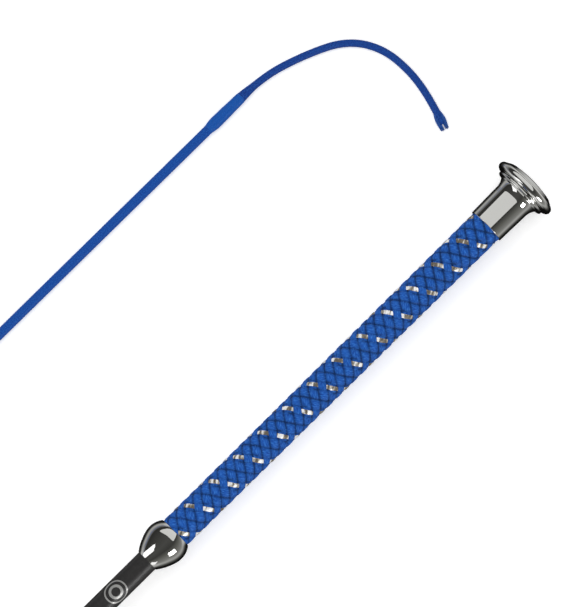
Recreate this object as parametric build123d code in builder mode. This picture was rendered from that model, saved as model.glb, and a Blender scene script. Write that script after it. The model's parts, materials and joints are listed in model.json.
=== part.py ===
"""Riding whip with a plaited grip, a mushroom cap and a short lash.

The whip lies on a floor. Its handle runs along +X, with the mushroom cap at the far end, and its
long springy shaft is bent back in a loop, so that the tip lies beside the handle and points the
same way. The origin is on the handle's axis, in the label sleeve, where a rack clip holds the whip.
All sizes are in millimetres.
"""

import math
import os

from build123d import *

# ---- Driving dimensions: handle ----------------------------------------------------------------
sleeve_radius = 5.5
sleeve_length = 75.0
sleeve_to_collar = 16.0          # from the origin to the collar's small face
collar_length = 18.5
collar_radius = 10.65
collar_small_radius = 5.8
collar_wall = 0.35               # metal left around the plait at the collar's mouth
collar_widest_share = 0.66       # the collar is widest at this share of its length
collar_start_slope = 0.8         # how steeply it leaves its small face
collar_swell_share = 0.71        # half way to its widest place it has swelled by this share
collar_face_thickness = 3.0
collar_bush_step = 0.6           # the collar's bush is this much wider than the tube under the plait
grip_length = 204.5              # plait that shows between the collar and the ferrule
grip_radius_front = 8.0
grip_radius_butt = 8.6
plait_thickness = 1.7
plait_tuck = 4.0                 # plait hidden in the collar and in the ferrule, each
ferrule_length = 21.8
ferrule_wall = 0.65
ferrule_neck_radius = 9.65
ferrule_flare_radius = 11.2
ferrule_flare_length = 5.0
ferrule_rim = 0.6                # straight edge at the end of the flare
ring_radius = 13.6
ring_thickness = 1.5
ring_rounding_share = 0.45
cap_radius = 16.5
cap_thickness = 6.9
cap_rim_thickness = 4.0
cap_rim_rounding = 1.4
cap_face_radius = 12.3           # low dome inside the bevel
cap_dome_rise = 1.3
cap_gap = 0.4                    # shadow line between the ring and the cap
boss_inset = 3.5                 # the cap's boss is this much smaller than the ring
stud_radius = 3.0
stud_in_cap = 3.5
stud_length = 30.0
insert_length = 18.0
insert_wall = 2.0

# ---- Driving dimensions: shaft -----------------------------------------------------------------
rod_radius = 3.35                # glass-fibre rod in the handle
braid_thickness = 0.9
tip_radius = 2.3                 # outside the braid, from the end of the loop to the whipping
stick_length = 1100.0            # cap face to the end of the whipping, along the shaft
ends_apart = 124.0               # the tip lies this far beside the handle's axis
tip_reach = 202.0                # the whipping ends this far along +X
loop_hinges = 8                  # bends in the loop, which turns through half a circle

# ---- Driving dimensions: tip -------------------------------------------------------------------
whipping_length = 23.0
whipping_radius = 3.25
whipping_edge = 0.2              # height of the thread where the winding begins
whipping_waist = 0.25            # depth of the waists between its three swellings
lash_radius = 1.8
lash_bend_share = 0.45           # a bend takes up this share of the shorter run beside it
strand_radius = 1.2
strand_length = 7.5
strand_splay = 0.12              # sideways run of a strand for each millimetre along it

# ---- Clearances --------------------------------------------------------------------------------
fit = 0.02                       # glued, pressed or screwed pieces of one body
hinge_gap = 0.12                 # between a link's round nose and the next link's hollow
nose_share = 1.2                 # a nose is this much wider than its link

# ---- Places along the handle -------------------------------------------------------------------
collar_face = sleeve_to_collar
collar_mouth = collar_face + collar_length
ferrule_mouth = collar_mouth + grip_length
ferrule_end = ferrule_mouth + ferrule_length
ring_start = ferrule_end
cap_start = ring_start + ring_thickness + cap_gap
cap_top = cap_start + cap_thickness
sleeve_start = collar_face - sleeve_length
plait_start = collar_mouth - plait_tuck
plait_end = ferrule_mouth + plait_tuck
floor = -cap_radius
braid_radius = rod_radius + braid_thickness

handle_plane = Plane(origin=(0, 0, 0), x_dir=(1, 0, 0), z_dir=(0, -1, 0))   # sketch y is world z
handle_axis = Axis((0, 0, 0), (1, 0, 0))

os.makedirs("parts", exist_ok=True)


def save(piece, label):
    """Give the finished piece its name and write it."""
    piece.part.label = label
    export_step(piece.part, f"parts/{label}.step")


def grip_radius(x):
    """Outside of the plait at x: a straight taper from the collar to the ferrule."""
    share = (x - collar_mouth) / grip_length
    return grip_radius_front + (grip_radius_butt - grip_radius_front) * share


# ---- Route of the shaft: points where its links meet -------------------------------------------
# Seen from above the shaft leaves along -X, goes round half a circle by equal turns and comes
# back along +X.
loop_turn = 180.0 / loop_hinges
headings = [180.0 - loop_turn * i for i in range(loop_hinges + 1)]

# The links between the first and the last bend are equally long, and together they go ends_apart
# sideways. What is left of the stick's length is shared between the two straight ends.
sideways = sum(math.sin(math.radians(heading)) for heading in headings[1:-1])
link_length = ends_apart / sideways
loop_length = link_length * (loop_hinges - 1)
straight_length = stick_length - loop_length
bend_start = -(straight_length - cap_top - tip_reach) / 2

hinge_points = [Vector(bend_start, 0, 0)]
for heading in headings[1:-1]:
    along = Vector(math.cos(math.radians(heading)), math.sin(math.radians(heading)), 0)
    hinge_points.append(hinge_points[-1] + along * link_length)


def braid_radius_at(number):
    """Outside of the braid at a hinge: it tapers over the loop."""
    return braid_radius + (tip_radius - braid_radius) * number / (loop_hinges - 1)


def rod_radius_at(number):
    """Outside of the rod at a hinge, inside the braid."""
    return braid_radius_at(number) - braid_thickness


def height_at(number):
    """Height of the shaft's axis at a hinge: it comes down evenly to lie on the floor."""
    return (floor + tip_radius) * number / (loop_hinges - 1)


hinges = [Vector(p.X, p.Y, height_at(i)) for i, p in enumerate(hinge_points)]
tip_height = floor + whipping_radius
lash_hinge = Vector(tip_reach - whipping_radius, ends_apart, tip_height)


def link(start, end, outline, socket_radius=0.0, nose_radius=0.0):
    """A round link of the shaft between two hinges.

    outline lists (distance from start, radius) pairs, outside first and then back along the hole.
    The link is that outline turned about its axis. Seen from above it begins in a hollow of
    socket_radius about the first hinge and ends in a nose of nose_radius about the second.
    """
    run = end - start
    level = Vector(run.X, run.Y, 0)
    side = Vector(0, 0, 1).cross(level)
    lengthwise = Plane(origin=start, x_dir=run, z_dir=side)
    from_above = Plane(origin=(start.X, start.Y, 0), x_dir=level, z_dir=(0, 0, 1))
    wide = 8 * braid_radius          # wider and taller than any link
    tall = 4 * cap_radius
    with BuildPart() as piece:
        with BuildSketch(lengthwise):
            with BuildLine():
                Polyline(*outline, close=True)
            make_face()
        revolve(axis=Axis(start, run))
        with BuildSketch(from_above):
            with Locations((level.length / 2, 0)):
                Rectangle(level.length, wide)
            if nose_radius:
                with Locations((level.length, 0)):
                    Circle(nose_radius)
            if socket_radius:
                Circle(socket_radius, mode=Mode.SUBTRACT)
        extrude(amount=tall, both=True, mode=Mode.INTERSECT)
    return piece


# ---- Shaft: rod and braid in links, so that it can flex ----------------------------------------
# The first link is fixed in the handle and the last one carries the whipping.
noses = [nose_share * braid_radius_at(i) for i in range(loop_hinges)]

stud_start = cap_start + stud_in_cap - stud_length
rod_end = Vector(stud_start - fit, 0, 0)
braid_end = Vector(plait_start - fit, 0, 0)

rod_run = (hinges[0] - rod_end).length + noses[0]
root_rod = link(
    rod_end,
    hinges[0],
    [(0, 0), (0, rod_radius), (rod_run, rod_radius), (rod_run, 0)],
    nose_radius=noses[0],
)
save(root_rod, "shaft_rod_00")

braid_run = (hinges[0] - braid_end).length + noses[0]
root_braid = link(
    braid_end,
    hinges[0],
    [(0, rod_radius + fit), (0, braid_radius), (braid_run, braid_radius), (braid_run, rod_radius + fit)],
    nose_radius=noses[0],
)
save(root_braid, "shaft_braid_00")

for i in range(loop_hinges - 1):
    start, end = hinges[i], hinges[i + 1]
    run = (end - start).length + noses[i + 1]
    outside = [(0, braid_radius_at(i)), (run, braid_radius_at(i + 1))]
    core = [(run, rod_radius_at(i + 1)), (0, rod_radius_at(i))]
    hole = [(x, radius + fit) for x, radius in core]
    rod_link = link(start, end, [(0, 0), *reversed(core), (run, 0)], noses[i] + hinge_gap, noses[i + 1])
    save(rod_link, f"shaft_rod_{i + 1:02d}")
    braid_link = link(start, end, outside + hole, noses[i] + hinge_gap, noses[i + 1])
    save(braid_link, f"shaft_braid_{i + 1:02d}")

# The last link is straight and even, from the last bend to the whipping.
tip_run = (lash_hinge - hinges[-1]).length - whipping_radius
tip_core = tip_radius - braid_thickness
tip_rod = link(
    hinges[-1],
    lash_hinge,
    [(0, 0), (0, tip_core), (tip_run, tip_core), (tip_run, 0)],
    socket_radius=noses[-1] + hinge_gap,
)
save(tip_rod, f"shaft_rod_{loop_hinges:02d}")

tip_braid = link(
    hinges[-1],
    lash_hinge,
    [(0, tip_core + fit), (0, tip_radius), (tip_run, tip_radius), (tip_run, tip_core + fit)],
    socket_radius=noses[-1] + hinge_gap,
)
save(tip_braid, f"shaft_braid_{loop_hinges:02d}")

# ---- Whipping: thread wound over the joint of shaft and lash -----------------------------------
# Its outside rises steeply, keeps three slight swellings and ends in a round nose.
tip_direction = lash_hinge - hinges[-1]
whipping_plane = Plane(origin=lash_hinge, x_dir=tip_direction, z_dir=Vector(0, 0, 1).cross(tip_direction))
whipping_start = whipping_radius - whipping_length
waist_radius = whipping_radius - whipping_waist
slight_radius = whipping_radius - whipping_waist / 2
hole_radius = tip_radius + 2 * fit
swelling = (whipping_length - whipping_radius) / 3
with BuildPart() as whipping:
    with BuildSketch(whipping_plane):
        with BuildLine():
            Polyline((whipping_start, hole_radius), (whipping_start, hole_radius + whipping_edge))
            ThreePointArc(
                (whipping_start, hole_radius + whipping_edge),
                (whipping_start + 0.5 * swelling, slight_radius),
                (whipping_start + swelling, waist_radius),
            )
            ThreePointArc(
                (whipping_start + swelling, waist_radius),
                (whipping_start + 1.5 * swelling, whipping_radius),
                (whipping_start + 2 * swelling, waist_radius),
            )
            ThreePointArc(
                (whipping_start + 2 * swelling, waist_radius),
                (whipping_start + 2.5 * swelling, slight_radius),
                (0, waist_radius),
            )
            RadiusArc((0, waist_radius), (waist_radius, 0), waist_radius)
            Polyline(
                (waist_radius, 0),
                (fit - whipping_radius, 0),
                (fit - whipping_radius, hole_radius),
                (whipping_start, hole_radius),
            )
        make_face()
    revolve(axis=Axis(lash_hinge, tip_direction))
save(whipping, "tip_whipping")

# ---- Lash: a limp braided cord that lies in a curve on the floor --------------------------------
# Points of its route, chosen by hand: how far they lie past the whipping's end and to its left,
# and the height of the lash's underside above the floor.
lash_points = [
    (hinge_gap, 0.0, whipping_radius - lash_radius),
    (12.0, 0.0, 1.1),
    (34.0, -6.5, 0.2),
    (53.0, -15.5, 0.0),
    (62.8, -30.0, 0.0),
    (64.6, -48.0, 0.0),
    (61.5, -65.0, 0.0),
    (57.8, -75.5, 0.0),
]
lash_route = [
    Vector(tip_reach + ahead, ends_apart + left, floor + lash_radius + lift)
    for ahead, left, lift in lash_points
]
lash_radii = []
for a, b, c in zip(lash_route, lash_route[1:], lash_route[2:]):
    shorter = min((b - a).length, (c - b).length)
    lash_radii.append(lash_bend_share * shorter / math.tan(math.radians((b - a).get_angle(c - b) / 2)))
print("lash radii:", [round(radius, 1) for radius in lash_radii])

with BuildPart() as lash:
    with BuildLine() as lash_line:
        FilletPolyline(*lash_route, radius=lash_radii)
    with BuildSketch(Plane(origin=lash_route[0], z_dir=lash_route[1] - lash_route[0])):
        Circle(lash_radius)
    sweep()
lash_length = sum(edge.length for edge in lash_line.edges())
print(f"lash length {lash_length:.1f} mm, volume over section times length",
      round(lash.part.volume / (math.pi * lash_radius ** 2 * lash_length), 4))
save(lash, "lash")

# Its end comes apart into two short strands.
lash_end = lash_route[-1]
lash_way = (lash_route[-1] - lash_route[-2]).normalized()
lash_side = Vector(0, 0, 1).cross(lash_way)
for name, side, share in (("lash_strand_left", 1, 1.0), ("lash_strand_right", -1, 0.85)):
    strand_start = lash_end + lash_side * (side * (strand_radius + fit))
    strand_way = lash_way + lash_side * (strand_splay * side)
    with BuildPart() as strand:
        with BuildSketch(Plane(origin=strand_start, z_dir=strand_way)):
            Circle(strand_radius)
        extrude(amount=strand_length * share)
        with BuildSketch(Plane(origin=lash_end, z_dir=lash_way)):
            Rectangle(8 * lash_radius, 8 * lash_radius)
        extrude(amount=2 * strand_length, mode=Mode.INTERSECT)
    save(strand, name)

# ---- Handle ------------------------------------------------------------------------------------
# Smooth black sleeve between the shaft and the collar.
sleeve_wall = sleeve_radius - braid_radius - fit
with BuildPart() as label_sleeve:
    with BuildSketch(Plane.YZ.offset(sleeve_start)):
        Circle(sleeve_radius)
        Circle(braid_radius + fit, mode=Mode.SUBTRACT)
    extrude(amount=sleeve_length)
    end_edges = label_sleeve.edges().filter_by(GeomType.CIRCLE).group_by(Axis.X)[0]
    chamfer(end_edges.sort_by(SortBy.RADIUS)[-1], 0.4 * sleeve_wall)
save(label_sleeve, "label_sleeve")

# Bell-shaped metal collar: turned outside, stepped bore inside for the sleeve's end, a bush and
# the plait.
bell_top = collar_face + collar_widest_share * collar_length
collar_swell_radius = collar_small_radius + collar_swell_share * (collar_radius - collar_small_radius)
mouth_bore = grip_radius_front + fit
collar_lip_radius = mouth_bore + collar_wall
bush_radius = mouth_bore - plait_thickness + collar_bush_step
bush_start = collar_face + collar_face_thickness
with BuildPart() as collar:
    with BuildSketch(handle_plane):
        with BuildLine():
            Line((collar_face, braid_radius + fit), (collar_face, collar_small_radius))
            Spline(
                (collar_face, collar_small_radius),
                ((collar_face + bell_top) / 2, collar_swell_radius),
                (bell_top, collar_radius),
                tangents=[(1, collar_start_slope), (1, 0)],
            )
            TangentArc((bell_top, collar_radius), (collar_mouth, collar_lip_radius), tangent=(1, 0))
            Polyline(
                (collar_mouth, collar_lip_radius),
                (collar_mouth, mouth_bore),
                (plait_start - fit, mouth_bore),
                (plait_start - fit, bush_radius + fit),
                (bush_start - fit, bush_radius + fit),
                (bush_start - fit, braid_radius + fit),
                (collar_face, braid_radius + fit),
            )
        make_face()
    revolve(axis=handle_axis)
save(collar, "collar")

with BuildPart() as collar_bush:
    with BuildSketch(Plane.YZ.offset(bush_start)):
        Circle(bush_radius)
        Circle(braid_radius + fit, mode=Mode.SUBTRACT)
    extrude(amount=plait_start - bush_start - 2 * fit)
save(collar_bush, "collar_bush")

# Moulded tube on the rod under the plait; its far end holds the brass insert.
grip_tube_end = ferrule_end - fit
insert_radius = stud_radius + insert_wall
with BuildPart() as grip_tube:
    with BuildSketch(handle_plane):
        with BuildLine():
            Polyline(
                (plait_start, rod_radius + fit),
                (plait_start, grip_radius(plait_start) - plait_thickness),
                (grip_tube_end, grip_radius(grip_tube_end) - plait_thickness),
                (grip_tube_end, insert_radius + fit),
                (stud_start, insert_radius + fit),
                (stud_start, rod_radius + fit),
                close=True,
            )
        make_face()
    revolve(axis=handle_axis)
save(grip_tube, "grip_tube")

# Plaited cover of the grip, with its ends tucked into the collar and the ferrule.
with BuildPart() as grip_plait:
    with BuildSketch(handle_plane):
        with BuildLine():
            Polyline(
                (plait_start, grip_radius(plait_start) - plait_thickness + fit),
                (plait_start, grip_radius(plait_start)),
                (plait_end, grip_radius(plait_end)),
                (plait_end, grip_radius(plait_end) - plait_thickness + fit),
                close=True,
            )
        make_face()
    revolve(axis=handle_axis)
save(grip_plait, "grip_plait")

# Flared metal ferrule that the cap screws down on.
ferrule_bore = grip_radius(plait_end) + fit
ferrule_mouth_radius = ferrule_bore + ferrule_wall
flare_start = ferrule_end - ferrule_flare_length
with BuildPart() as butt_ferrule:
    with BuildSketch(handle_plane):
        with BuildLine():
            Polyline(
                (ferrule_end, ferrule_bore),
                (ferrule_mouth, ferrule_bore),
                (ferrule_mouth, ferrule_mouth_radius),
                (flare_start, ferrule_neck_radius),
            )
            TangentArc(
                (flare_start, ferrule_neck_radius),
                (ferrule_end - ferrule_rim, ferrule_flare_radius),
                tangent=(flare_start - ferrule_mouth, ferrule_neck_radius - ferrule_mouth_radius),
            )
            Polyline(
                (ferrule_end - ferrule_rim, ferrule_flare_radius),
                (ferrule_end, ferrule_flare_radius),
                (ferrule_end, ferrule_bore),
            )
        make_face()
    revolve(axis=handle_axis)
save(butt_ferrule, "butt_ferrule")

# Plastic bush that fills the ferrule behind the plait.
with BuildPart() as ferrule_bush:
    with BuildSketch(handle_plane):
        with BuildLine():
            Polyline(
                (plait_end + fit, grip_radius(plait_end) - plait_thickness + fit),
                (plait_end + fit, ferrule_bore - fit),
                (grip_tube_end, ferrule_bore - fit),
                (grip_tube_end, grip_radius(grip_tube_end) - plait_thickness + fit),
                close=True,
            )
        make_face()
    revolve(axis=handle_axis)
save(ferrule_bush, "ferrule_bush")

# Threaded brass insert in the tube's end, and the cap's stud in it.
with BuildPart() as stud_insert:
    with BuildSketch(Plane.YZ.offset(ferrule_end - insert_length)):
        Circle(insert_radius)
        Circle(stud_radius + fit, mode=Mode.SUBTRACT)
    extrude(amount=insert_length - 2 * fit)
save(stud_insert, "stud_insert")

with BuildPart() as cap_stud:
    with BuildSketch(Plane.YZ.offset(stud_start)):
        Circle(stud_radius)
    extrude(amount=stud_length - fit)
save(cap_stud, "cap_stud")

# Thin ring clamped between the ferrule and the cap.
with BuildPart() as butt_ring:
    with BuildSketch(Plane.YZ.offset(ring_start)):
        Circle(ring_radius)
        Circle(stud_radius + fit, mode=Mode.SUBTRACT)
    extrude(amount=ring_thickness)
    rim = butt_ring.edges().filter_by(GeomType.CIRCLE).sort_by(SortBy.RADIUS)[-2:]
    fillet(rim, ring_rounding_share * ring_thickness)
save(butt_ring, "butt_ring")

# Mushroom cap: a boss on the ring, a thick round rim, a bevel and a low dome.
boss_radius = ring_radius - boss_inset
rim_edge_radius = cap_radius - cap_rim_rounding
bevel_start = cap_start + cap_rim_thickness
face_start = cap_top - cap_dome_rise
dome_radius = (cap_face_radius ** 2 + cap_dome_rise ** 2) / (2 * cap_dome_rise)
with BuildPart() as butt_cap:
    with BuildSketch(handle_plane):
        with BuildLine():
            Polyline(
                (cap_start + stud_in_cap, 0),
                (cap_start + stud_in_cap, stud_radius + fit),
                (cap_start - cap_gap, stud_radius + fit),
                (cap_start - cap_gap, boss_radius),
                (cap_start, boss_radius),
                (cap_start, rim_edge_radius),
            )
            ThreePointArc(
                (cap_start, rim_edge_radius),
                ((cap_start + bevel_start) / 2, cap_radius),
                (bevel_start, rim_edge_radius),
            )
            Line((bevel_start, rim_edge_radius), (face_start, cap_face_radius))
            RadiusArc((face_start, cap_face_radius), (cap_top, 0), dome_radius)
            Line((cap_top, 0), (cap_start + stud_in_cap, 0))
        make_face()
    revolve(axis=handle_axis)
save(butt_cap, "butt_cap")
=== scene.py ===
# %% [markdown]
# # A riding whip with a plaited grip
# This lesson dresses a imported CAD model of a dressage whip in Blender. The CAD model is a fixed
# frame: it says where every piece is, which body it moves with and how large it is. Here each
# visible surface gets its real shape and finish: a plait of blue yarn with two silver ribbons,
# polished chrome fittings, a satin black sleeve, and fine braid on the shaft and the lash.

# %% Load the frame
import json
import math

import bpy
import numpy as np
from mathutils import Matrix, Vector


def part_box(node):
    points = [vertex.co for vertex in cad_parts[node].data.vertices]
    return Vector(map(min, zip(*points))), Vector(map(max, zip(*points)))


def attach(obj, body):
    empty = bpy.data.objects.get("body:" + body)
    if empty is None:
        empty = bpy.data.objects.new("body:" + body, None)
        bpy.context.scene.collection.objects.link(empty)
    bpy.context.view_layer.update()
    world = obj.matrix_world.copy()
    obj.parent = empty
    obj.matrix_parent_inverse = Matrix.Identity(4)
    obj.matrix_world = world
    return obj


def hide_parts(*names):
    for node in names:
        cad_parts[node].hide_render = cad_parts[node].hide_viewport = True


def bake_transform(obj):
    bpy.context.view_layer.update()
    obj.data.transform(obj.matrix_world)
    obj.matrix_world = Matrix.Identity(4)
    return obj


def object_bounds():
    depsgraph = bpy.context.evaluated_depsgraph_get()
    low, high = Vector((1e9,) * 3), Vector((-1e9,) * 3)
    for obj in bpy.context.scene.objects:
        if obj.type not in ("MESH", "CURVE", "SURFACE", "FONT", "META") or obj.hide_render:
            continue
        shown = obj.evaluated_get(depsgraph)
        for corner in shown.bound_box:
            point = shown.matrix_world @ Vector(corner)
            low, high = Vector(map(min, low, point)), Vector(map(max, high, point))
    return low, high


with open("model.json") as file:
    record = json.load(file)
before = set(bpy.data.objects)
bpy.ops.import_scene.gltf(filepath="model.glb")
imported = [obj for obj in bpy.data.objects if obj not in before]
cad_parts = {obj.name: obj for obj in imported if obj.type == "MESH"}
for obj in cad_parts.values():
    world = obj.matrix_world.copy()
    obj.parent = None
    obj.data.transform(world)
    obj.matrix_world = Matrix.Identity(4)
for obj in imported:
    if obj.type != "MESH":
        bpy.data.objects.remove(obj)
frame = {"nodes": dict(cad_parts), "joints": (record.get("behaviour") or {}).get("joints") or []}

cad_box = [list(corner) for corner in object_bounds()]
mm = 0.001
print("CAD box in mm:", np.round(np.array(cad_box) / mm, 1).tolist())

# %% [markdown]
# The first things to settle are the camera, the floor and the light, because every finish is
# judged through them. The whip lies flat and is looked at almost straight down, from well away
# and with a long lens, so the picture has little perspective. The handle runs diagonally up to
# the right, and the tip lies beside it on the left.

# %% Camera
sensor = 36.0                                      # mm, along the picture's longer side
aim = Vector((146.4, 40.2, 0.0)) * mm              # middle of the view, at the handle's height
eye = Vector((-27.0, 40.4, 2600.0)) * mm           # the camera stands over the black sleeve
shown_height = 284.0 * mm                          # what the longer side takes in, at aim
turn = 0.7918                                      # radians: the handle's slope in the picture

camera = bpy.data.objects.new("camera", bpy.data.cameras.new("camera"))
bpy.context.scene.collection.objects.link(camera)
look = (aim - eye).normalized()
picture_up = Vector((math.cos(turn), math.sin(turn), 0.0))
picture_up = (picture_up - look * picture_up.dot(look)).normalized()
picture_right = look.cross(picture_up)
camera.matrix_world = Matrix.Translation(eye) @ Matrix(
    (picture_right, picture_up, -look)
).transposed().to_4x4()
camera.data.sensor_width = sensor
camera.data.lens = sensor * (aim - eye).length / shown_height
camera.data.clip_end = 20.0                        # metres: well past the sweep's far corners
bpy.context.scene.camera = camera
print("lens in mm:", round(camera.data.lens, 1))

# %% [markdown]
# A material here is one Principled shader with a few nodes in front of it. One function adds a
# node, sets its properties and connects its inputs. Another turns hex sRGB colours, which are
# easy to read and to compare, into the linear values that Blender works in.

# %% Node and colour helpers
def linear(code, alpha=1.0):
    """A hex sRGB colour as linear red, green, blue and alpha."""
    srgb = np.array([int(code[i:i + 2], 16) for i in (1, 3, 5)]) / 255
    low, high = srgb / 12.92, ((srgb + 0.055) / 1.055) ** 2.4
    return (*np.where(srgb <= 0.04045, low, high).tolist(), alpha)


def node(tree, kind, inputs=None, **settings):
    """Adds one shader node. inputs maps a socket to a value or to the socket that feeds it."""
    new = tree.nodes.new("ShaderNode" + kind)
    for key, value in settings.items():
        setattr(new, key, value)
    for key, value in (inputs or {}).items():
        if isinstance(value, bpy.types.NodeSocket):
            tree.links.new(value, new.inputs[key])
        else:
            new.inputs[key].default_value = value
    return new


def material(name, **sockets):
    """A new material: its node tree and its Principled shader, with constant sockets set."""
    made = bpy.data.materials.new(name)
    made.use_nodes = True
    shader = made.node_tree.nodes["Principled BSDF"]
    for key, value in sockets.items():
        shader.inputs[key.replace("_", " ")].default_value = value
    return made, made.node_tree, shader


def ramp(tree, factor, stops):
    """A colour ramp with (place, hex colour) stops, fed by factor. Returns its colour socket."""
    made = node(tree, "ValToRGB", {"Fac": factor})
    elements = made.color_ramp.elements
    while len(elements) < len(stops):
        elements.new(0.5)
    for element, (place, code) in zip(elements, stops):
        element.position = place
        element.color = linear(code)
    return made.outputs["Color"]


# %% [markdown]
# The whip lies on a plain pale sweep, lit softly from all round, and the sweep glows a little so
# that it stays white under the whip. Chrome is a mirror, so what it shows is the studio. It sees
# dark walls, one wide grey card over its butt end and three bright windows. Those exist for
# reflections only: the world gives reflected rays one picture and all other rays plain white.
# That picture is a colour ramp over the angle round the handle's axis: 0 is straight up, -90 is
# the -Y side, and beyond -135 and +150 it is nearly black. Only towards the handle's two ends
# does a reflection that looks down see the white sweep. Two soft boxes light the fabric.

# %% Floor and world
floor_height = cad_box[0][2]


def sheet(name, corners, paint):
    """A flat sheet with these corners and this paint, linked into the scene."""
    made = bpy.data.objects.new(name, bpy.data.meshes.new(name))
    made.data.from_pydata(corners, [], [range(len(corners))])
    made.data.materials.append(paint)
    bpy.context.scene.collection.objects.link(made)
    return made


floor_reach = 4.0                                  # metres, each way
sweep_paper, tree, shader = material("white_sweep", Roughness=0.9, Emission_Strength=0.25)
shader.inputs["Base Color"].default_value = linear("#FAFAFA")
shader.inputs["Emission Color"].default_value = linear("#FFFFFF")
shader.inputs["Specular IOR Level"].default_value = 0.0
signs = [(-1, -1), (1, -1), (1, 1), (-1, 1)]       # of a rectangle's four corners, in order
floor = sheet("floor", [(floor_reach * x, floor_reach * y, floor_height) for x, y in signs],
              sweep_paper)
floor.visible_glossy = False

world = bpy.data.worlds.new("studio")
world.use_nodes = True
bpy.context.scene.world = world
tree = world.node_tree
axes = node(tree, "SeparateXYZ", {"Vector": node(tree, "TexCoord").outputs["Generated"]})
round_axis = node(tree, "Math", {0: axes.outputs["Y"], 1: axes.outputs["Z"]}, operation="ARCTAN2")
share = node(tree, "MapRange", {"Value": round_axis.outputs[0],
                                "From Min": -math.pi, "From Max": math.pi})
walls = [(-180, "#0A0A0A"), (-135, "#141413"), (-120, "#4A4A48"), (-102, "#A2A2A0"), (-84, "#7C7C79"),
         (-55, "#5C5C58"), (-31, "#3A3A38"), (0, "#484846"), (60, "#383836"), (88, "#2C2C2B"),
         (104, "#8E8E8C"), (118, "#A8A8A6"), (130, "#3A3A39"), (150, "#0C0C0C")]
room = ramp(tree, share.outputs["Result"], [((angle + 180) / 360, tone) for angle, tone in walls])
far_along = node(tree, "Math", {0: axes.outputs["X"]}, operation="ABSOLUTE")
lengthways = node(tree, "MapRange", {"Value": far_along.outputs[0],
                                     "From Min": 0.55, "From Max": 0.90})
down = node(tree, "MapRange", {"Value": axes.outputs["Z"], "From Min": 0.02, "From Max": -0.20})
paper_share = node(tree, "Math", {0: lengthways.outputs["Result"], 1: down.outputs["Result"]},
                   operation="MULTIPLY")
seen = node(tree, "Mix", {0: paper_share.outputs[0], 6: room, 7: linear("#DCDCDA")},
            data_type="RGBA")
reflected = node(tree, "Background", {"Color": seen.outputs[2], "Strength": 1.0})
lit = node(tree, "Background", {"Color": linear("#FFFFFF"), "Strength": 0.72})
rays = node(tree, "LightPath")
mixed = node(tree, "MixShader", {0: rays.outputs["Is Glossy Ray"],
                                 1: lit.outputs[0], 2: reflected.outputs[0]})
tree.links.new(mixed.outputs[0], tree.nodes["World Output"].inputs["Surface"])


# %% Cards and lamps
def card(name, corners, tone, strength):
    """A glowing flat card with these corners. Only reflected rays see it."""
    glow, tree, shader = material(name, Emission_Strength=strength)
    shader.inputs["Base Color"].default_value = linear("#000000")
    shader.inputs["Emission Color"].default_value = linear(tone)
    made = sheet(name, corners, glow)
    made.visible_camera = made.visible_diffuse = made.visible_shadow = False


def window(name, place, size, strength):
    """A white card of (width, height) size at place that faces the whip's middle."""
    away = Vector(place)
    facing = Matrix.Translation(away) @ away.to_track_quat("Z", "Y").to_matrix().to_4x4()
    corners = [facing @ Vector((x * size[0] / 2, y * size[1] / 2, 0)) for x, y in signs]
    card(name, corners, "#FFFFFF", strength)


def soft_box(name, place, size, power):
    """An area light of (width, height) size at place that faces the whip's middle."""
    lamp = bpy.data.lights.new(name, "AREA")
    lamp.shape = "RECTANGLE"
    lamp.size, lamp.size_y = size
    lamp.energy = power
    made = bpy.data.objects.new(name, lamp)
    bpy.context.scene.collection.objects.link(made)
    away = Vector(place)
    made.matrix_world = Matrix.Translation(away) @ away.to_track_quat("Z", "X").to_matrix().to_4x4()
    made.visible_camera = made.visible_glossy = False


# All places and sizes here are in metres. The card over the butt is level, and its two corners
# above the handle are rounded: they are quarters of two ellipses.
card_height = 0.304
card_end = 1.6
quarter = np.linspace(0, np.pi / 2, 9)
near_corner = np.stack([0.254 - 0.06 * np.sin(quarter), -0.035 - 0.10 * np.cos(quarter)], axis=-1)
far_corner = np.stack([0.314 - 0.12 * np.cos(quarter), 0.38 + 0.42 * np.sin(quarter)], axis=-1)
rim = [(card_end, -0.135), *near_corner, *far_corner, (card_end, 0.80)]
card("card_over_butt", [(x, y, card_height) for x, y in rim], "#CFCFCD", 1.0)
window("window_left", (-1.24, 0.74, 0.50), (0.60, 1.30), 1.3)
window("window_right", (-1.28, -0.84, 0.14), (0.46, 0.44), 1.0)
window("window_side", (-0.22, -1.32, 0.66), (0.76, 0.52), 6.5)
soft_box("overhead_box", (0.0, 0.5, 1.3), (1.4, 1.4), 9.0)
soft_box("side_box", (-0.2, -1.4, 0.7), (0.9, 0.5), 4.0)
bpy.context.scene.view_settings.view_transform = "Standard"

# %% [markdown]
# Every new piece is a skin on a grid of rings: each ring is a closed loop of points, and rings
# follow each other along a path. One function joins such a grid into faces, closes both ends
# with a fan, and stores two numbers for each point as a UV map: how far along the piece it is
# and how far round. Patterns that follow the surface read them.

# %% Mesh and measuring helpers
def face_outwards(made):
    """Turns the faces round if the closed skin's signed volume says that they point inwards."""
    mesh = made.data
    mesh.calc_loop_triangles()
    points = np.empty(len(mesh.vertices) * 3)
    mesh.vertices.foreach_get("co", points)
    corners = np.empty(len(mesh.loop_triangles) * 3, int)
    mesh.loop_triangles.foreach_get("vertices", corners)
    a, b, c = points.reshape(-1, 3)[corners.reshape(-1, 3)].transpose(1, 0, 2)
    if (a * np.cross(b, c)).sum() < 0:
        mesh.flip_normals()
    return made


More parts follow.
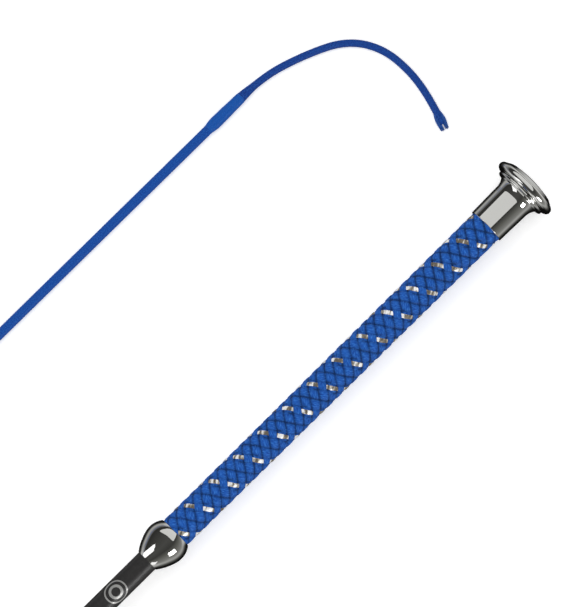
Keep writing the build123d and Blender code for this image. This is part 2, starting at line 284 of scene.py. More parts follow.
def skin(name, rings, paint, body, along=None, girth=None):
    """A closed smooth skin over rings, an array of (rings, points in a ring, 3).

    Side faces join each point to its neighbour in its ring and in the next one, and each end is
    a fan about the middle of its ring. The UV map is along, which has a value for each ring, and
    a value that grows evenly round each ring from 0 to girth.
    """
    count, size = rings.shape[:2]
    corners = np.arange(count * size).reshape(count, size)
    following = np.roll(corners, -1, axis=1)
    quads = np.stack([corners[:-1], following[:-1], following[1:], corners[1:]], axis=-1).reshape(-1, 4)
    first, last = count * size, count * size + 1
    low = np.stack([np.full(size, first), following[0], corners[0]], axis=-1)
    high = np.stack([np.full(size, last), corners[-1], following[-1]], axis=-1)
    points = np.concatenate([rings.reshape(-1, 3), rings[[0, -1]].mean(axis=1)])
    mesh = bpy.data.meshes.new(name)
    mesh.from_pydata(points, [], quads.tolist() + low.tolist() + high.tolist())
    if along is not None:
        u = np.broadcast_to(along[:, None], (count, size))
        here = np.broadcast_to(np.arange(size) / size * girth, (count, size))
        there = np.broadcast_to((np.arange(size) + 1) / size * girth, (count, size))
        side_u = np.stack([u[:-1], u[:-1], u[1:], u[1:]], axis=-1).reshape(-1)
        side_v = np.stack([here[:-1], there[:-1], there[1:], here[1:]], axis=-1).reshape(-1)
        fan_u = np.repeat([along[0], along[-1]], 3 * size)
        uv = np.stack([np.concatenate([side_u, fan_u]),
                       np.concatenate([side_v, np.zeros_like(fan_u)])], axis=-1)
        mesh.uv_layers.new(name="UVMap").data.foreach_set("uv", uv.ravel())
    mesh.polygons.foreach_set("use_smooth", np.ones(len(mesh.polygons), bool))
    mesh.update()
    made = bpy.data.objects.new(name, mesh)
    bpy.context.scene.collection.objects.link(made)
    mesh.materials.append(paint)
    if body:
        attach(made, body)
    return face_outwards(made)


def node_points(name):
    """All points of a CAD node, as an array."""
    mesh = frame["nodes"][name].data
    points = np.empty(len(mesh.vertices) * 3)
    mesh.vertices.foreach_get("co", points)
    return points.reshape(-1, 3)


def outline(name, apart=0.02 * mm):
    """A round CAD node's outside: places along the handle and the radius at each.

    Only corners of faces that look away from the axis count, so a bore leaves no mark. Each place
    has the radius of the faces before it, then that of the faces after it, so a step stays a step.
    A point nearer than apart to the one before it is left out.
    """
    mesh = frame["nodes"][name].data
    mesh.calc_loop_triangles()
    corners = np.empty(len(mesh.loop_triangles) * 3, int)
    mesh.loop_triangles.foreach_get("vertices", corners)
    faces = node_points(name)[corners.reshape(-1, 3)]
    normal = np.cross(faces[:, 1] - faces[:, 0], faces[:, 2] - faces[:, 0])
    middle = faces.mean(axis=1)
    outward = (normal[:, 1:] * middle[:, 1:]).sum(axis=1) / np.linalg.norm(middle[:, 1:], axis=1)
    least_outward = 0.02
    faces = faces[outward > least_outward * np.linalg.norm(normal, axis=1)]
    x, radius = np.round(faces[..., 0], 5), np.hypot(faces[..., 1], faces[..., 2])
    middle_x = np.broadcast_to(faces[..., 0].mean(axis=1)[:, None], x.shape)
    found = []
    for place in np.unique(x):
        for side in (middle_x < place, middle_x > place):
            here = radius[(x == place) & side]
            if len(here) and (not found or math.dist((place, here.max()), found[-1]) > apart):
                found.append((place, here.max()))
    return np.array(found).T


# %% [markdown]
# ## Fittings
# The cap, its ring, the ferrule and the collar are brass or zinc, turned, polished and chromed.
# Chrome has almost no colour of its own: it is a mirror that loses about a fifth of the light.
# It is a metal with a very low roughness, and a faint unevenness from polishing, in patches a
# centimetre or two across, keeps long reflections from looking drawn with a ruler.

# %% Chrome
def chrome_plate():
    """Polished chrome plate: a near-perfect grey mirror with slight polishing waves."""
    made, tree, shader = material("polished_chrome_plate", Metallic=1.0)
    shader.inputs["Base Color"].default_value = linear("#F2F2F0")
    place = node(tree, "TexCoord").outputs["Object"]
    cloud = node(tree, "TexNoise", {"Vector": place, "Scale": 60.0, "Detail": 3.0})
    shine = node(tree, "MapRange", {"Value": cloud.outputs["Fac"], "To Min": 0.02, "To Max": 0.07})
    tree.links.new(shine.outputs["Result"], shader.inputs["Roughness"])
    waves = node(tree, "Bump", {"Height": cloud.outputs["Fac"], "Strength": 0.03, "Distance": 0.1 * mm})
    tree.links.new(waves.outputs["Normal"], shader.inputs["Normal"])
    return made


chrome = chrome_plate()

# %% [markdown]
# A mirror shows every flat facet, so the four fittings are turned again here with many more
# sides. Their outlines are read from the CAD nodes. Between corners the outline's points are
# joined by cubic curves that keep the direction at each point, so the profile stays smooth.

# %% Turned fittings
def turned_outline(name, step=0.12 * mm, corner=math.radians(28)):
    """Smooth (place, radius) points of a round node's outside.

    The outline is cut where it turns by more than corner. Each run between cuts is a chain of
    Hermite cubics: a point's direction is that from its last neighbour to its next one.
    """
    x, radius = outline(name)
    points = np.stack([x, np.maximum(radius, 0.02 * mm)], axis=-1)
    ways = np.diff(points, axis=0)
    sizes = np.linalg.norm(ways, axis=1)
    bend = np.abs(np.diff(np.unwrap(np.arctan2(ways[:, 1], ways[:, 0]))))
    cuts_at = [0, *(np.flatnonzero(bend > corner) + 1), len(points) - 1]
    done = [points[:1]]
    for first, last in zip(cuts_at, cuts_at[1:]):
        run = points[first:last + 1]
        slope = np.gradient(run, np.concatenate([[0], np.cumsum(sizes[first:last])]), axis=0)
        for i in range(len(run) - 1):
            size = sizes[first + i]
            leave, arrive = size * slope[i], size * slope[i + 1]
            t = np.linspace(0, 1, int(size / step) + 2)[1:, None]
            done.append((2 * t ** 3 - 3 * t ** 2 + 1) * run[i] + (t ** 3 - 2 * t ** 2 + t) * leave
                        + (3 * t ** 2 - 2 * t ** 3) * run[i + 1] + (t ** 3 - t ** 2) * arrive)
    return np.concatenate(done)


def turned(name, sides=160):
    """A chromed fitting: the node's smooth outline turned about the handle's axis."""
    x, radius = turned_outline(name).T
    angle = np.linspace(0, 2 * np.pi, sides, endpoint=False)[None, :]
    rings = np.stack([x[:, None] + 0 * angle, radius[:, None] * np.sin(angle),
                      radius[:, None] * np.cos(angle)], axis=-1)
    made = skin("turned_" + name, rings, chrome, "handle")
    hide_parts(name)
    print(name, len(x), "rings")


for name in ("collar", "butt_ferrule", "butt_ring", "butt_cap"):
    turned(name)

# %% [markdown]
# ## Black sleeve
# The sleeve is shrunk plastic with a satin surface. It is a soft black with a wide dull
# highlight, and fine unevenness from shrinking. Its CAD node has the right shape already, so it
# only gets its finish. So do the inner parts, which show only when the whip is taken apart.

# %% Sleeve and inner parts
def shrunk_plastic():
    """Satin black shrink tube: dark grey, with fine grain."""
    made, tree, shader = material("satin_black_shrink_tube", Roughness=0.40)
    place = node(tree, "TexCoord").outputs["Object"]
    grain = node(tree, "TexNoise", {"Vector": place, "Scale": 900.0, "Detail": 4.0})
    tone = ramp(tree, grain.outputs["Fac"], [(0.3, "#262525"), (0.7, "#2E2D2D")])
    tree.links.new(tone, shader.inputs["Base Color"])
    rough = node(tree, "Bump", {"Height": grain.outputs["Fac"], "Strength": 0.12, "Distance": 0.05 * mm})
    tree.links.new(rough.outputs["Normal"], shader.inputs["Normal"])
    return made


def plain_paint(name, code, roughness, metallic=0.0):
    """A plain finish whose tone changes by 15 percent, in patches a few millimetres across."""
    made, tree, shader = material(name, Roughness=roughness, Metallic=metallic)
    place = node(tree, "TexCoord").outputs["Object"]
    cloud = node(tree, "TexNoise", {"Vector": place, "Scale": 300.0})
    dark, light = (tuple(np.array(linear(code)[:3]) * share) + (1.0,) for share in (0.85, 1.15))
    tone = node(tree, "Mix", {"Factor": cloud.outputs["Fac"], 6: dark, 7: light}, data_type="RGBA")
    tree.links.new(tone.outputs[2], shader.inputs["Base Color"])
    return made


def repaint(name, paint):
    """Gives a CAD node another material in every slot."""
    mesh = frame["nodes"][name].data
    mesh.materials.clear()
    mesh.materials.append(paint)


repaint("label_sleeve", shrunk_plastic())
repaint("grip_tube", plain_paint("moulded_navy_nylon", "#0A2450", 0.6))
inner_plastic = plain_paint("moulded_black_nylon", "#141414", 0.5)
for name in ("collar_bush", "ferrule_bush"):
    repaint(name, inner_plastic)
repaint("stud_insert", plain_paint("turned_brass", "#B08D45", 0.3, 1.0))
repaint("cap_stud", plain_paint("zinc_plated_steel", "#9A9A98", 0.35, 1.0))
rod_paint = plain_paint("pultruded_glass_fibre", "#8C8F7A", 0.35)
for name in frame["nodes"]:
    if name.startswith("shaft_rod"):
        repaint(name, rod_paint)

# %% [markdown]
# The sleeve carries a round silver print. Here it is a plain ring with a smaller ring in it: a
# film of ink bent round the sleeve. The skin is a flat ring whose points are wrapped round the
# sleeve's cylinder.

# %% Silver print
sleeve_low, sleeve_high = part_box("label_sleeve")
sleeve_radius = (sleeve_high.z - sleeve_low.z) / 2
print_middle = -4.6 * mm                           # along the handle
ink_height = 0.03 * mm
ink_points = 6                                     # across the ring, on each of its two faces


def printed_ring(name, inner, outer, paint, parts=72):
    """A ring of ink round the sleeve's cylinder.

    A point at distance d and angle a from the print's middle lies d cos a along the sleeve and
    d sin a round it, which is an angle of d sin a over the radius. The section is a thin
    rectangle, from just under the sleeve's surface to the ink's height above it.
    """
    angle = np.linspace(0, 2 * np.pi, parts, endpoint=False)[:, None]
    steps = np.linspace(inner, outer, ink_points)
    distance = np.concatenate([steps, steps[::-1]])[None, :]
    height = np.repeat([ink_height, -ink_height], ink_points)[None, :]
    along = print_middle + distance * np.cos(angle)
    bend = distance * np.sin(angle) / sleeve_radius
    radius = sleeve_radius + height
    points = np.stack([along + 0 * radius, radius * np.sin(bend), radius * np.cos(bend)], axis=-1)
    count, size = points.shape[:2]
    corners = np.arange(count * size).reshape(count, size)
    across, next_ring = np.roll(corners, -1, axis=1), np.roll(corners, -1, axis=0)
    both = np.roll(across, -1, axis=0)
    faces = np.stack([corners, across, both, next_ring], axis=-1).reshape(-1, 4)
    mesh = bpy.data.meshes.new(name)
    mesh.from_pydata(points.reshape(-1, 3), [], faces.tolist())
    made = bpy.data.objects.new(name, mesh)
    bpy.context.scene.collection.objects.link(made)
    mesh.materials.append(paint)
    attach(made, "handle")
    return face_outwards(made)


silver_ink = plain_paint("silver_ink", "#B9B9B7", 0.42, 0.6)
printed_ring("print_outer_ring", 5.0 * mm, 5.7 * mm, silver_ink)
printed_ring("print_inner_ring", 2.2 * mm, 3.5 * mm, silver_ink)

# %% [markdown]
# ## Plaited grip
# The grip is a round plait of twelve strands: six turn one way round the handle and six the
# other, and each goes over one partner and under the next. Its over-crossings line up in rows
# along the handle, so the surface is a lattice of tall diamonds. Two opposite strands of one
# family are flat silver ribbon, which shows as small bright spots, and the rest are flat bands of
# untwisted blue yarn.
#
# A texture could draw the pattern, but the edges of a grip show its bumps and the gaps at the
# diamonds' corners are deep. So each strand is its own skin that really goes over and under.

# %% Plait measures
plait_x, plait_radius = outline("grip_plait")
grip_start, grip_end = plait_x.min(), plait_x.max()
strands_each_way = 6
plait_pitch = 32.3 * mm                            # one turn of a strand, along the handle
row_angle = math.radians(37.0)                     # a row of silver spots, from the top of the grip
row_start = 63.8 * mm                              # where the first silver strand crosses that row
under_depth = 0.62 * mm                            # middle of the plait, below its outside
swing = 0.20 * mm                                  # up for over, down for under
strand_spacing = 4.4 * mm                          # between two strands of a family, square across
groove_depth, groove_width = 0.30 * mm, 0.38 * mm  # where two strands' edges meet
corner_round = 0.30 * mm                           # how round a diamond's corners are
edge_share = 0.97                                  # where a strand's edge turns down, of half width
narrowing = 0.12                                   # how much narrower a strand is where it dives
yarn_ridge = 0.05 * mm                             # height of the ridges along a strand
wander = 0.13 * mm                                 # of a diamond's border
wander_lengths = (0.9 * mm, 1.5 * mm)              # along the handle, for one radian of each sine
twist_start, twist_length = 110 * mm, 120 * mm     # where the rows of spots start to turn
full_twist = math.radians(17.0)                    # how far they turn over twist_length
rings_along, section_points = 760, 56              # of each strand's skin
edge_power, crown_power = 0.85, 3.4                # how fast a section's edges and its top turn


def row_twist(x):
    """The rows turn slowly round the grip towards the butt, as the 1.5th power of the distance."""
    share = np.clip((x - twist_start) / twist_length, 0, None)
    return -full_twist * share ** 1.5


def strand(name, way, number, paint, half_width, thickness, sink=0.0, shift=0.0, ribs=5):
    """One strand of the plait.

    Its middle line turns once round the handle in plait_pitch, to the left or to the right (way
    is -1 or +1). Its radius is the plait's middle plus swing times the cosine of six times its
    angle from a row of its own over-crossings, so it rises on its own rows and dives between
    them. sink lowers the whole strand and shift moves it along the handle. Its section is a flat
    lens laid across that line, crowned on top, with as many ridges as ribs, like a band of
    parallel yarns. It is a little narrower where it dives.

    Where it lies on top it shows as a diamond. The distance in mm from a point to the diamond's
    border, the nearer of its own edge and the crossing strand's edge, is kept as an attribute,
    and on a ribbed strand the surface sinks by groove_depth times a bell curve of that distance.
    Minus the logarithm of the sum of two falling exponentials joins the two distances, which
    rounds the diamond's corners, and a sine times a cosine makes its border wander a little.
    """
    rate = 2 * np.pi / plait_pitch
    x = np.linspace(grip_start, grip_end, rings_along)[:, None]
    turn_of = 2 * np.pi * number / strands_each_way
    base = row_angle + way * rate * (x - row_start - shift) + turn_of
    lift = -way * np.cos(strands_each_way * (base - row_angle))
    angle = base + row_twist(x)
    outside = np.interp(x, plait_x, plait_radius)
    middle = outside - under_depth - sink + swing * lift

    share = np.linspace(0, 2 * np.pi, section_points, endpoint=False)[None, :]
    across = np.sign(np.cos(share)) * np.abs(np.cos(share)) ** edge_power
    crown = np.sqrt(np.clip(1 - np.abs(across) ** crown_power, 0, 1))
    top = np.sin(share) > 0
    ridge = yarn_ridge * np.abs(np.cos(np.pi * ribs * (across + 1) / 2)) * crown
    height = np.where(top, crown * thickness / 2 + ridge, -crown * thickness / 2)
    width = half_width * (1 - narrowing * (1 - lift) / 2) * across

    slope = middle * way * rate                    # how far it goes round for each step along
    length = np.sqrt(1 + slope ** 2)
    along = x - width * slope / length
    bend = angle + width / length / middle
    crossing = bend - row_twist(x) - row_angle + way * rate * (along - row_start)
    gap_angle = 2 * np.pi / strands_each_way
    crossing -= np.round(crossing / gap_angle) * gap_angle
    own_edge = edge_share * half_width - np.abs(width)
    other_edge = strand_spacing / 2 - np.abs(crossing) * middle / length
    border = -corner_round * np.log(np.exp(-own_edge / corner_round)
                                    + np.exp(-other_edge / corner_round))
    border += wander * (np.sin(x / wander_lengths[0] + 2.4 * number)
                        * np.cos(x / wander_lengths[1] + way))
    if ribs:
        height = height - groove_depth * np.exp(-(np.clip(border, 0, None) / groove_width) ** 2)
    radius = middle + height
    rings = np.stack([along, radius * np.sin(bend), radius * np.cos(bend)], axis=-1)
    distance = np.concatenate([[0], np.cumsum(np.diff(x[:, 0]) * length[:-1, 0])])
    made = skin(name, rings, paint, "handle", along=distance / mm, girth=4 * half_width / mm)
    border_mm = np.append(border / mm, [0.0, 0.0])  # and the middles of the two ends
    made.data.attributes.new("border", "FLOAT", "POINT").data.foreach_set("value", border_mm)
    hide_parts("grip_plait")


# %% [markdown]
# The yarn is untwisted polypropylene multifilament: hundreds of fine shiny filaments side by
# side. Along a strand the colour hardly changes; across it, it changes from filament to
# filament. So the pattern is noise stretched along the strand, on the UV map, which is in
# millimetres. Real filaments are about 0.04 mm and would not show, so they are drawn at 0.25 mm.
# The ribbon is a plastic film with a skin of metal. Its white patches are painted highlights and
# its dull brown-grey patches are painted dull reflections, on the noise that also creases it.

# %% Yarn and ribbon
def yarn(name, dark, mid, light, stretch=7.0, filament=0.25, roughness=0.5, gloss=0.1, shaded=False):
    """Flat untwisted yarn: streaks along the strand in colour and in height.

    A streak is as wide as filament, in mm, and stretch times as long. Where shaded is true, the
    colour also depends on the distance to the diamond's border: dark at the border, where the
    yarn turns down out of the light, and full in the middle.
    """
    made, tree, shader = material(name, Roughness=roughness)
    shader.inputs["Specular IOR Level"].default_value = gloss
    uv = node(tree, "TexCoord").outputs["UV"]
    scaled = node(tree, "Mapping", {"Vector": uv, "Scale": (1 / filament / stretch, 1 / filament, 1.0)})
    streak = node(tree, "TexNoise", {"Vector": scaled.outputs["Vector"], "Scale": 1.0, "Detail": 4.0})
    tone = ramp(tree, streak.outputs["Fac"], [(0.3, dark), (0.5, mid), (0.7, light)])
    if shaded:
        border = node(tree, "Attribute", attribute_name="border").outputs["Fac"]
        share = node(tree, "MapRange", {"Value": border, "From Max": strand_spacing / 2 / mm})
        light_in = ramp(tree, share.outputs["Result"],
                        [(0.0, "#8C8C8C"), (0.20, "#D6D6D6"), (0.42, "#EEEEEE"), (1.0, "#FFFFFF")])
        tone = node(tree, "Mix", {0: 1.0, 6: tone, 7: light_in},
                    data_type="RGBA", blend_type="MULTIPLY").outputs[2]
    tree.links.new(tone, shader.inputs["Base Color"])
    rough = node(tree, "Bump", {"Height": streak.outputs["Fac"], "Strength": 0.4, "Distance": 0.1 * mm})
    tree.links.new(rough.outputs["Normal"], shader.inputs["Normal"])
    return made


def film_ribbon():
    """Metallised film: a thin silver mirror, creased by the plaiting, with painted highlights
    and painted dull reflections in its colour.
    """
    made, tree, shader = material("metallised_film_ribbon", Metallic=0.35, Roughness=0.3)
    uv = node(tree, "TexCoord").outputs["UV"]
    scaled = node(tree, "Mapping", {"Vector": uv, "Scale": (0.45, 0.2, 1.0)})
    crease_and_glint = node(tree, "TexNoise", {"Vector": scaled.outputs["Vector"], "Scale": 1.0, "Detail": 3.0})
    # painted highlights (white) and painted dull reflections (brown-grey), in patches of the crease
    # noise
    tone = ramp(tree, crease_and_glint.outputs["Fac"], [(0.44, "#6E665A"), (0.50, "#B4AEA2"), (0.56, "#FFFFFF")])
    tree.links.new(tone, shader.inputs["Base Color"])
    fold = node(tree, "Bump", {"Height": crease_and_glint.outputs["Fac"], "Strength": 0.5, "Distance": 0.3 * mm})
    tree.links.new(fold.outputs["Normal"], shader.inputs["Normal"])
    return made


blue_yarn = yarn("blue_multifilament_yarn", "#103F8E", "#1A55AC", "#3878CC", shaded=True)
silver_film = film_ribbon()

# %% [markdown]
# A ribbon is narrower than the yarn and takes the place of every third strand that turns left.
# The blue strand on each side of it stands half a millimetre nearer to it, and is a little wider
# than those that turn right.

# %% Twelve strands
yarn_thickness, film_thickness = 0.9 * mm, 0.3 * mm
left_half, right_half, film_half = 2.75 * mm, 2.35 * mm, 1.05 * mm
film_rise = 0.30 * mm                              # the ribbon lies on top, not sunk in the yarn
for number in range(strands_each_way):
    if number % 3 == 0:
        strand(f"silver_ribbon_{number // 3 + 1}", -1, number, silver_film,
               film_half, film_thickness, sink=-film_rise, ribs=0)
    else:
        aside = (-0.5 if number % 3 == 1 else 0.5) * mm
        strand(f"plait_left_{number}", -1, number, blue_yarn,
               left_half, yarn_thickness, shift=aside)
    strand(f"plait_right_{number + 1}", 1, number, blue_yarn,
           right_half, yarn_thickness)
print("plait radius in mm:", round(plait_radius.min() / mm, 2), "to", round(plait_radius.max() / mm, 2))
print("plait:", 2 * strands_each_way, "strands over", round((grip_end - grip_start) / mm), "mm")

# %% [markdown]
# ## Shaft
# The shaft is a springy rod in a tight cover of fine braid. In the CAD model it is a chain of
# straight links on hinges, so that it can flex. The cover that shows has to be one smooth curve.
# So its middle line is worked out once, as a chain of curves that touch each link's middle, and
# then cut at those middles: each piece between two middles crosses one hinge. The first piece
# goes with the handle and the last with the last link; those between stay where they lie.

# %% The shaft's middle line
flex = [joint for joint in frame["joints"] if joint["name"].startswith("shaft_flex")]
hinges = np.array([joint["pos_m"] for joint in flex])
lash_joint = next(joint for joint in frame["joints"] if joint["name"] == "lash_swing")
lash_hinge = np.array(lash_joint["pos_m"])
links = [joint["child"] for joint in flex]
cover_stop = 2.6 * mm                              # the cover ends this far short, inside the whipping
middles = (hinges[1:] + hinges[:-1]) / 2
half_link = np.linalg.norm(hinges[1] - hinges[0]) / 2
into = (lash_hinge - hinges[-1]) / np.linalg.norm(lash_hinge - hinges[-1])
shaft_start = np.array([sleeve_low.x + 2 * mm, 0.0, 0.0])
first_middle, last_middle = hinges[0] + [half_link, 0, 0], hinges[-1] + into * half_link
cuts = np.concatenate([[shaft_start, first_middle], middles,
                       [last_middle, lash_hinge - into * cover_stop]])
reach_share = 0.80                                 # how far the curve's handles reach to the hinge
step = 0.3 * mm                                    # between points of the middle line


def stretch_of(a, hinge, b):
    """A smooth curve from a to b that turns at hinge: a cubic whose handles point at the hinge."""
    t = np.linspace(0, 1, int(np.linalg.norm(b - a) / step) + 2)[:, None]
    first, second = a + (hinge - a) * reach_share, b + (hinge - b) * reach_share
    return (1 - t) ** 3 * a + 3 * t * (1 - t) ** 2 * first + 3 * t ** 2 * (1 - t) * second + t ** 3 * b


def straight(a, b):
    """Evenly spaced points from a to b."""
    return np.linspace(a, b, int(np.linalg.norm(b - a) / step) + 2)


stretches = [straight(cuts[0], cuts[1])]
stretches += [stretch_of(cuts[i + 1], hinges[i], cuts[i + 2]) for i in range(len(hinges))]
stretches += [straight(cuts[-2], cuts[-1])]
print("shaft stretches:", len(stretches), "with", [len(s) for s in stretches], "points")

# %% [markdown]
# The braid itself is a plain weave of thin strands on two helices. Its height above the rod is
# worked out as a formula of the place along the shaft and round it, so the relief is real
# geometry: strands of one family rise where those of the other dive.

# %% Braided tubes
def weave(along, angle, carriers, cell):
    """Height of a plain-woven braid, from about -1 to 0.6, at a place along and an angle round.

    p and q number the strands of the two families: they are whole on a strand's middle line.
    Each strand is a rounded band, up where its number and its partner's add up to an even
    number and down where they are odd, and the outside is whichever family is higher.
    """
    round_number, along_number = carriers * angle / (2 * np.pi), along / cell
    p, q = round_number + along_number, round_number - along_number
    one = np.cos(np.pi * (p - np.round(p))) ** 0.5 + 0.6 * np.cos(np.pi * (q + np.round(p)))
    other = np.cos(np.pi * (q - np.round(q))) ** 0.5 - 0.6 * np.cos(np.pi * (p + np.round(q)))
    return np.maximum(one, other) - 1.0


def frames(path):
    """Unit vectors sideways and upwards at each point of a path that runs nearly level."""
    ahead = np.gradient(path, axis=0)
    ahead /= np.linalg.norm(ahead, axis=1)[:, None]
    side = np.cross([0.0, 0.0, 1.0], ahead)
    side /= np.linalg.norm(side, axis=1)[:, None]
    return side, np.cross(ahead, side)


def braided_rings(path, along, radius, carriers, cell, relief, around=48):
    """Rings about a path: each point stands radius plus relief times the weave from the path."""
    side, up = frames(path)
    angle = np.linspace(0, 2 * np.pi, around, endpoint=False)[None, :]
    height = weave(along[:, None], angle, carriers, cell)
    distance = (radius[:, None] + relief * height)[..., None]
    return path[:, None] + distance * (
        np.cos(angle)[..., None] * side[:, None] + np.sin(angle)[..., None] * up[:, None])


def braid_paint(name, dark, mid, light, around_scale):
    """Waxed braid: small flecks of tone on the UV map, around_scale of them to each mm round it."""
    made, tree, shader = material(name, Roughness=0.42)
    shader.inputs["Specular IOR Level"].default_value = 0.1
    uv = node(tree, "TexCoord").outputs["UV"]
    scaled = node(tree, "Mapping", {"Vector": uv, "Scale": (1.6, around_scale, 1.0)})
    fleck = node(tree, "TexNoise", {"Vector": scaled.outputs["Vector"], "Scale": 1.0, "Detail": 5.0})
    tone = ramp(tree, fleck.outputs["Fac"], [(0.3, dark), (0.5, mid), (0.72, light)])
    tree.links.new(tone, shader.inputs["Base Color"])
    rough = node(tree, "Bump", {"Height": fleck.outputs["Fac"], "Strength": 0.35, "Distance": 0.08 * mm})
    tree.links.new(rough.outputs["Normal"], shader.inputs["Normal"])
    return made


# %% Shaft cover
root_low, root_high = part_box("shaft_braid_00")
root_radius = (root_high.z - root_low.z) / 2
tip_radius = 2.3 * mm
carriers, cell, relief = 8, 1.5 * mm, 0.09 * mm    # strands each way, their repeat, their height
shaft_paint = braid_paint("waxed_blue_braid", "#0A347E", "#104696", "#205AAC", 1.2)

lengths = [np.linalg.norm(np.diff(s, axis=0), axis=1) for s in stretches]
starts = np.concatenate([[0], np.cumsum([steps.sum() for steps in lengths])])
taper_from, taper_to = starts[1], starts[-2]


def cover_radius(distance):
    """The cover tapers evenly over the part of the shaft that loops."""
    share = np.clip((distance - taper_from) / (taper_to - taper_from), 0, 1)
    return root_radius + (tip_radius - root_radius) * share


owners = [("handle", None), *zip(["handle", *links[:-1]], links), (links[-1], None)]
for i, (path, (body, next_body)) in enumerate(zip(stretches, owners)):
    along = starts[i] + np.concatenate([[0], np.cumsum(lengths[i])])
    rings = braided_rings(path, along, cover_radius(along), carriers, cell, relief)
    made = skin(f"shaft_cover_{i:02d}", rings, shaft_paint, None if next_body else body,
                along=along / mm, girth=2 * np.pi * root_radius / mm)
    if next_body:
        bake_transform(made)
    number = min(i, len(links))
    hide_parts(f"shaft_braid_{number:02d}", f"shaft_rod_{number:02d}")
print("shaft cover:", round(starts[-1] / mm), "mm long")

# %% [markdown]
# ## Whipping
# Where the shaft ends and the lash begins, thread is wound tightly round both. It is a spindle
# with a full shoulder, and the turns of the thread show as fine rings. A real turn is about 0.2
# mm wide and would not show, so the turns are drawn at twice that.

# %% Whipping
whip_low, whip_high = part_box("tip_whipping")
whip_radius = (whip_high.y - whip_low.y) / 2
whip_length = whip_high.x - whip_low.x
shoulder_radius = whip_radius - 0.35 * mm
rise_share, fall_share = 0.22, 0.3                 # of the length: the rise ends, the fall begins
fall = 0.40 * mm                                   # how much thinner it is at its far end
swelling = 0.05 * mm                               # of three faint swellings
nose_length, nose_flat = 0.98 * whip_radius, 0.45 * mm
thread_pitch, thread_relief = 0.42 * mm, 0.05 * mm


def wound_thread(name, paint):
    """A spindle of thread round the shaft's end.

    Along it the radius is the shaft's, plus a quarter sine up to the shoulder, minus an even
    fall, plus three faint swellings that are sines squared. At the far end it is no more than
    that of a round nose, and each turn of thread adds half a sine of its own.
    """
    t = np.linspace(0, 1, 560)
    x = whip_low.x + whip_length * t
    rise = np.clip(t / rise_share, 0, 1)
    body = tip_radius + (shoulder_radius - tip_radius) * np.sin(rise * np.pi / 2)
    body -= fall * np.clip((t - fall_share) / (1 - fall_share), 0, 1)
    body += swelling * np.sin(np.pi * 3 * t) ** 2
    from_end = np.clip((whip_high.x - x) / nose_length, 0, 1)
    body = np.minimum(body, nose_flat + body * np.sqrt(1 - (1 - from_end) ** 2))
    radius = body + thread_relief * np.abs(np.sin(np.pi * whip_length / thread_pitch * t))
    path = lash_hinge + (x - lash_hinge[0])[:, None] * (into / into[0])
    side, up = frames(path)
    angle = np.linspace(0, 2 * np.pi, 56, endpoint=False)[None, :, None]
    outwards = np.cos(angle) * side[:, None] + np.sin(angle) * up[:, None]
    rings = path[:, None] + radius[:, None, None] * outwards
    made = skin(name, rings, paint, links[-1], along=x / mm, girth=2 * np.pi * whip_radius / mm)
    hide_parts("tip_whipping")


thread = yarn("whipping_thread", "#083680", "#0E4C9E", "#1A66BA", stretch=0.2, filament=0.5,
              roughness=0.36, gloss=0.15)
wound_thread("whipping", thread)
print("whipping:", round(whip_length / mm, 1), "mm long,", round(whip_length / thread_pitch), "turns")

# %% [markdown]
# ## Lash
# The lash is a limp braided cord. Its route is a given list of points, the same as in the
# CAD model: places in millimetres and the height above lying on the floor. They are the control
# points of a smooth NURBS curve, and the braided skin follows points read back from that curve.
# It starts inside the round end of the whipping, where its hinge is, so that it can swing
# without opening a gap. Where the whipping holds it, it is thicker.

# %% Lash
lash_radius = 1.8 * mm
root_swell, root_length = 0.70 * mm, 11 * mm       # how much thicker it is at its root, and how far
fray_overlap, fray_length = 6.5 * mm, 9.3 * mm     # its end's two strands start before its end
fray_thinning = 0.45 * mm                          # the lash is thinner where they have come away
lash_points = [
    (199.5, 124.0, 1.4), (214.0, 124.0, 1.1), (236.0, 117.5, 0.2), (255.0, 108.5, 0.0),
    (264.8, 94.0, 0.0), (266.6, 76.0, 0.0), (263.5, 59.0, 0.0), (259.8, 48.5, 0.0)]
route = [(x * mm, y * mm, floor_height + lash_radius + lift * mm) for x, y, lift in lash_points]


def smooth_line(points, name):
    """Points along a NURBS curve with these control points, evenly spaced."""
    curve = bpy.data.curves.new(name, "CURVE")
    curve.dimensions = "3D"
    spline = curve.splines.new("NURBS")
    spline.points.add(len(points) - 1)
    for point, place in zip(spline.points, points):
        point.co = (*place, 1.0)
    spline.order_u = 3
    spline.use_endpoint_u = True
    spline.resolution_u = 40
    holder = bpy.data.objects.new(name, curve)
    bpy.context.scene.collection.objects.link(holder)
    bpy.context.view_layer.update()
    mesh = bpy.data.meshes.new_from_object(holder)
    line = np.empty(len(mesh.vertices) * 3)
    mesh.vertices.foreach_get("co", line)
    line = line.reshape(-1, 3)
    bpy.data.meshes.remove(mesh)
    bpy.data.objects.remove(holder)
    bpy.data.curves.remove(curve)
    gone = np.concatenate([[0], np.cumsum(np.linalg.norm(np.diff(line, axis=0), axis=1))])
    even = np.linspace(0, gone[-1], int(gone[-1] / (0.25 * mm)) + 1)
    return np.stack([np.interp(even, gone, line[:, k]) for k in range(3)], axis=-1), even


lash_line, lash_along = smooth_line(route, "lash_route")
lash_paint = braid_paint("limp_blue_braid", "#0A2868", "#133B86", "#1E509C", 1.4)
bound = np.clip(1 - lash_along / root_length, 0, 1)
frayed = np.clip((lash_along - lash_along[-1]) / fray_overlap + 1, 0, 1)
lash_carriers, lash_cell, lash_relief = 6, 1.3 * mm, 0.07 * mm
crest_room = 0.03 * mm                             # keeps the braid's crests near lash_radius
lash_radii = lash_radius - crest_room + root_swell * bound ** 2 * (3 - 2 * bound)
lash_radii -= fray_thinning * frayed
lash_rings = braided_rings(lash_line, lash_along, lash_radii, lash_carriers, lash_cell,
                           lash_relief, around=40)
lash = skin("lash_skin", lash_rings, lash_paint, "lash", along=lash_along / mm,
            girth=2 * np.pi * lash_radius / mm)
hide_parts("lash")
print("lash:", round(lash_along[-1] / mm, 1), "mm")

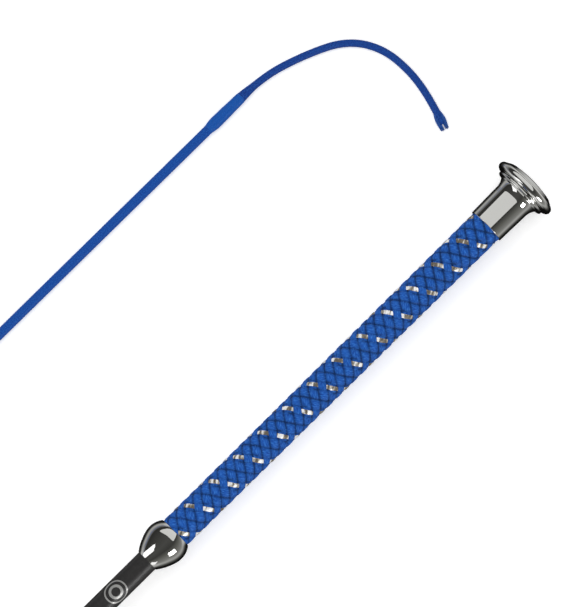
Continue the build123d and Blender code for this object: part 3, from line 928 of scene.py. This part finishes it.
# %% [markdown]
# The lash's end has come apart into two short strands, side by side. Each is a small bundle of
# fine loose filaments. Real ones are finer than hair, so fewer and thicker ones stand for them.

# %% Lash end
filament_radius = 0.2 * mm
lowest_filament = 0.25 * mm                        # its middle line, above the floor


def frayed_strand(name, node_name, hand, paint, seed):
    """A bundle of fine filaments beside the lash's last stretch, on its left or right (hand).

    The bundle's middle line runs along the lash and stands aside by a constant plus half a sine.
    Each filament winds round it slowly, at a distance that swells and then draws in, and ends at
    a length of its own, tapering.
    """
    chance = np.random.default_rng(seed)
    way = lash_line[-1] - lash_line[-9]
    way /= np.linalg.norm(way)
    side = np.cross([0, 0, 1.0], way)
    side /= np.linalg.norm(side)
    up = np.cross(way, side)
    count, steps, around = 46, 14, 6
    spin, out = chance.uniform(0, 2 * np.pi, count), np.sqrt(chance.uniform(0, 1, count)) * mm
    length = fray_length * chance.uniform(0.86, 1.04, count)
    t = np.linspace(0, 1, steps)
    start = lash_line[-1] - way * fray_overlap
    twist = spin[:, None] + 0.9 * t
    wide = out[:, None] * (0.75 + 0.4 * np.sin(np.pi * np.clip(t, 0, 0.8)))
    aside = hand * (0.85 + 0.5 * np.sin(0.8 * np.pi * t)) * mm + wide * np.cos(twist)
    lines = (start + (length[:, None] * t)[..., None] * way
             + aside[..., None] * side + (wide * np.sin(twist))[..., None] * up)
    lines[..., 2] = np.maximum(lines[..., 2], floor_height + lowest_filament)
    thick = filament_radius * (1 - 0.55 * t ** 3)
    angle = np.linspace(0, 2 * np.pi, around, endpoint=False)
    ring = np.cos(angle)[:, None] * side + np.sin(angle)[:, None] * up
    points = lines[:, :, None] + (thick[:, None, None] * ring)[None]
    corners = np.arange(count * steps * around).reshape(count, steps, around)
    following = np.roll(corners, -1, axis=2)
    sides = np.stack([corners[:, :-1], following[:, :-1], following[:, 1:], corners[:, 1:]], axis=-1)
    ends = corners[:, 0, ::-1].tolist() + corners[:, -1].tolist()
    mesh = bpy.data.meshes.new(name)
    mesh.from_pydata(points.reshape(-1, 3), [], sides.reshape(-1, 4).tolist() + ends)
    mesh.polygons.foreach_set("use_smooth", np.ones(len(mesh.polygons), bool))
    made = bpy.data.objects.new(name, mesh)
    bpy.context.scene.collection.objects.link(made)
    mesh.materials.append(paint)
    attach(made, "lash")
    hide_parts(node_name)
    return face_outwards(made)


filaments = plain_paint("loose_blue_filament", "#114C9C", 0.45)
ends = [frayed_strand("lash_end_left", "lash_strand_left", 1, filaments, 3),
        frayed_strand("lash_end_right", "lash_strand_right", -1, filaments, 5)]
